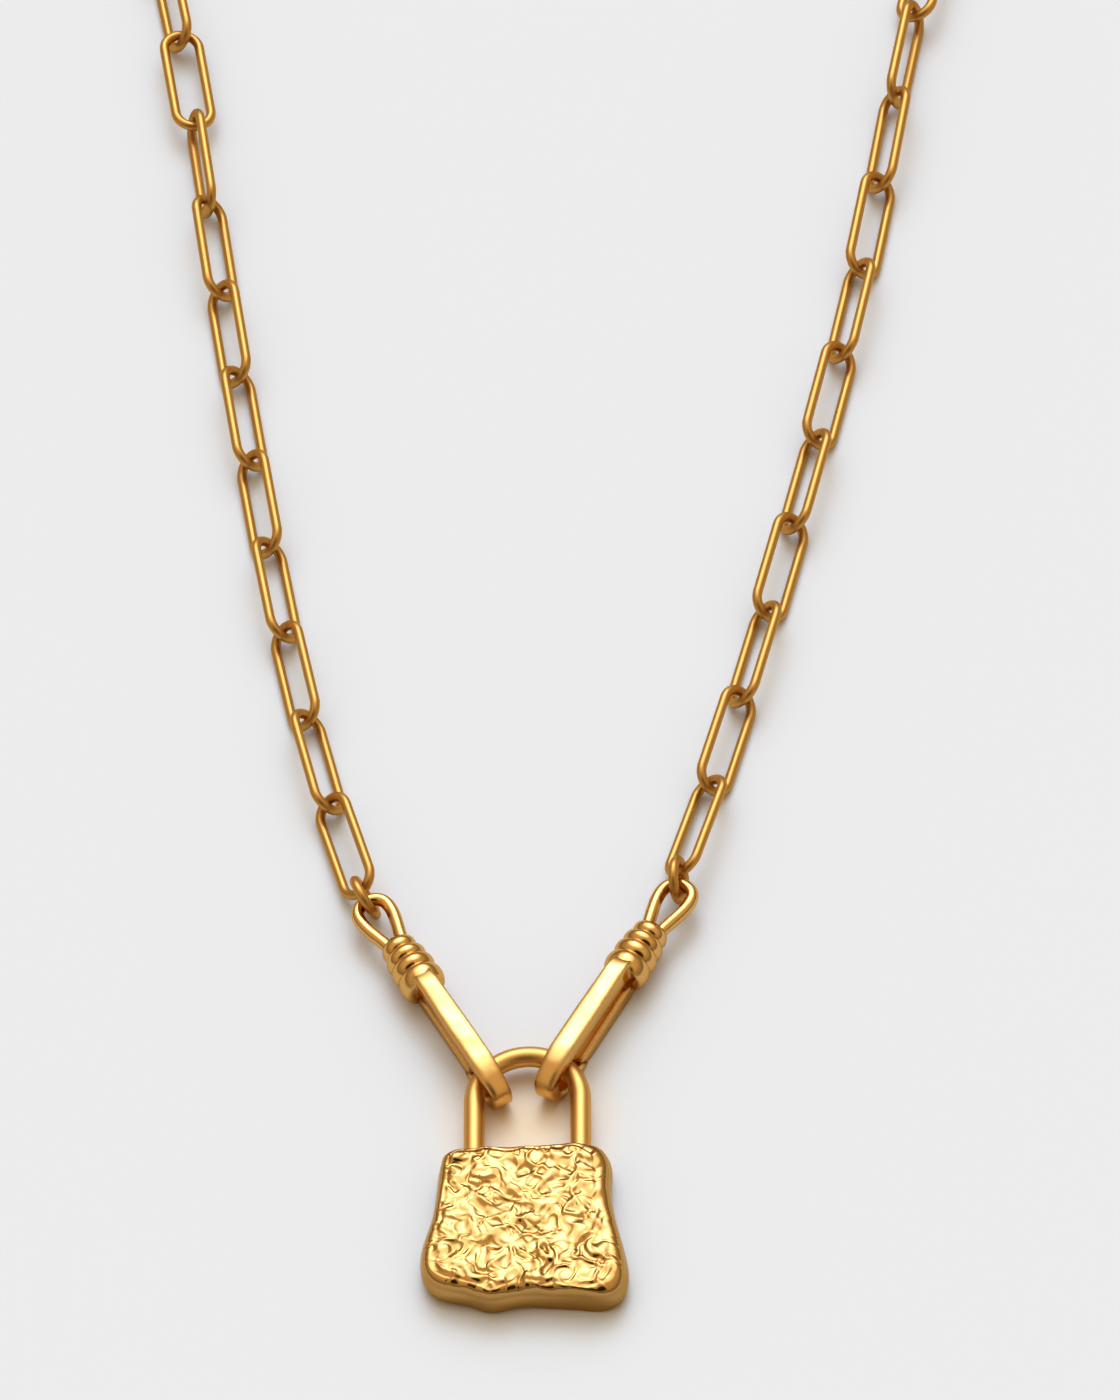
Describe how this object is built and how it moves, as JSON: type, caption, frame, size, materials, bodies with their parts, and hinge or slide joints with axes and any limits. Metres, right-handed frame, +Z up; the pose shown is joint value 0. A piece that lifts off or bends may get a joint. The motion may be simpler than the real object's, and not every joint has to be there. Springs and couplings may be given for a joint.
{
  "type": "padlock pendant necklace",
  "caption": "Link chain necklace whose two spring gate hooks hold a cast padlock pendant with a crumpled front, laid out flat as a long loop.",
  "frame": {"origin": "middle of the padlock's flat back, which lies on the table", "axes": "+Z up from the table, +Y from the padlock up the necklace towards the back of the neck, +X to the right as seen from above"},
  "size_m": [0.0813, 0.2195, 0.0047],
  "materials": {
    "chain_metal": "polished gold plated wire, slightly darker than the hooks",
    "hook_metal": "bright polished gold plate",
    "padlock_metal": "bright gold plate over a cast, crumpled front and smooth walls"
  },
  "bodies": {
    "necklace": {"link_01": "chain_metal", "link_02": "chain_metal", "link_03": "chain_metal", "link_04": "chain_metal", "link_05": "chain_metal", "link_06": "chain_metal", "link_07": "chain_metal", "link_08": "chain_metal", "link_09": "chain_metal", "link_10": "chain_metal", "link_11": "chain_metal", "link_12": "chain_metal", "link_13": "chain_metal", "link_14": "chain_metal", "link_15": "chain_metal", "link_16": "chain_metal", "link_17": "chain_metal", "link_18": "chain_metal", "link_19": "chain_metal", "link_20": "chain_metal", "link_21": "chain_metal", "link_22": "chain_metal", "link_23": "chain_metal", "link_24": "chain_metal", "link_25": "chain_metal", "link_26": "chain_metal", "link_27": "chain_metal", "link_28": "chain_metal", "link_29": "chain_metal", "link_30": "chain_metal", "link_31": "chain_metal", "link_32": "chain_metal", "link_33": "chain_metal", "link_34": "chain_metal", "link_35": "chain_metal", "link_36": "chain_metal", "link_37": "chain_metal", "link_38": "chain_metal", "link_39": "chain_metal", "link_40": "chain_metal", "jump_ring_left": "chain_metal", "jump_ring_right": "chain_metal", "hook_left": "hook_metal", "hook_right": "hook_metal", "shackle": "padlock_metal", "padlock_body": "padlock_metal"},
    "left_gate": {"gate_left": "hook_metal"},
    "right_gate": {"gate_right": "hook_metal"}
  },
  "joints": [
    {"name": "left_gate_hinge", "type": "hinge", "parent": "necklace", "child": "left_gate", "pos_m": [-0.00926, 0.02585, 0.00098], "axis": [-0.8698, -0.4921, -0.0349], "range_deg": [0, 10], "stiffness_Nm_per_rad": 0.0001, "springref_deg": -28.65},
    {"name": "right_gate_hinge", "type": "hinge", "parent": "necklace", "child": "right_gate", "pos_m": [0.00886, 0.0264, 0.00101], "axis": [-0.8627, 0.4981, -0.0872], "range_deg": [0, 10], "stiffness_Nm_per_rad": 0.0001, "springref_deg": -28.65}
  ]
}
